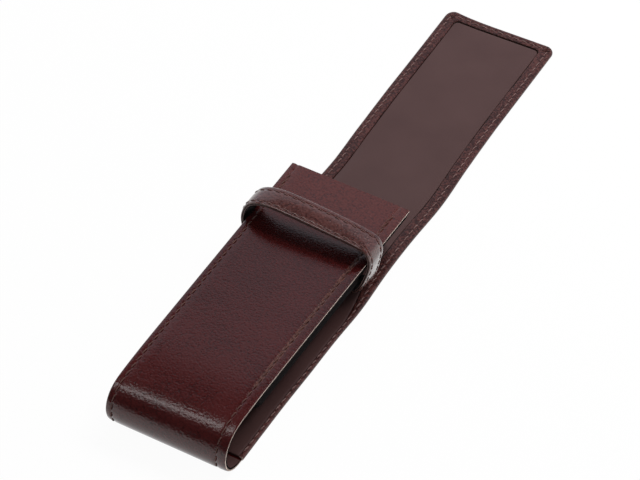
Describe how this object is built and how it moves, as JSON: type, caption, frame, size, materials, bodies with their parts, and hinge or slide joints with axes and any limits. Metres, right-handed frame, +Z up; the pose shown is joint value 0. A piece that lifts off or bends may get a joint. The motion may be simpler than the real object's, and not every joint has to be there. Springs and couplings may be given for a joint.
{
  "type": "pen case",
  "caption": "Slim leather pen case: a folded strip makes back, sewn front sleeve and long flap, which folds over the pen ends and tucks under a keeper strap.",
  "frame": {"origin": "middle of the open case's box, on the surface that its back lies on", "axes": "+Z up from the back to the front sleeve; +Y along the case from the bend to the flap's end; +X across it, to the right for someone looking along +Y"},
  "size_m": [0.0624, 0.2912, 0.034],
  "materials": {
    "leather": "dark red-brown grained leather, polished",
    "lining": "smooth grey-brown lining leather, satin",
    "board": "plain fibre board",
    "thread": "red-brown sewing thread"
  },
  "bodies": {
    "case": {"body_leather": "leather", "back_board": "board", "back_lining": "lining", "front_lining": "lining", "pen_pocket": "lining", "pen_divider": "lining", "strap_leather": "leather", "strap_lining": "lining", "strap_upper_seam": "thread", "strap_lower_seam": "thread", "strap_anchor_seam": "thread", "front_left_seam": "thread", "front_right_seam": "thread", "back_left_seam": "thread", "back_right_seam": "thread"},
    "bridge": {"bridge_leather": "leather", "bridge_board": "board", "bridge_lining": "lining", "bridge_left_seam": "thread", "bridge_right_seam": "thread"},
    "flap": {"flap_leather": "leather", "flap_board": "board", "flap_lining": "lining", "flap_left_seam": "thread", "flap_right_seam": "thread", "flap_end_seam": "thread"}
  },
  "joints": [
    {"name": "bridge_fold", "type": "hinge", "parent": "case", "child": "bridge", "pos_m": [0, 0.03155, 0.0005], "axis": [1, 0, 0], "range_deg": [0, 90]},
    {"name": "flap_fold", "type": "hinge", "parent": "bridge", "child": "flap", "pos_m": [0, 0.05745, 0.0005], "axis": [1, 0, 0], "range_deg": [0, 90]}
  ]
}
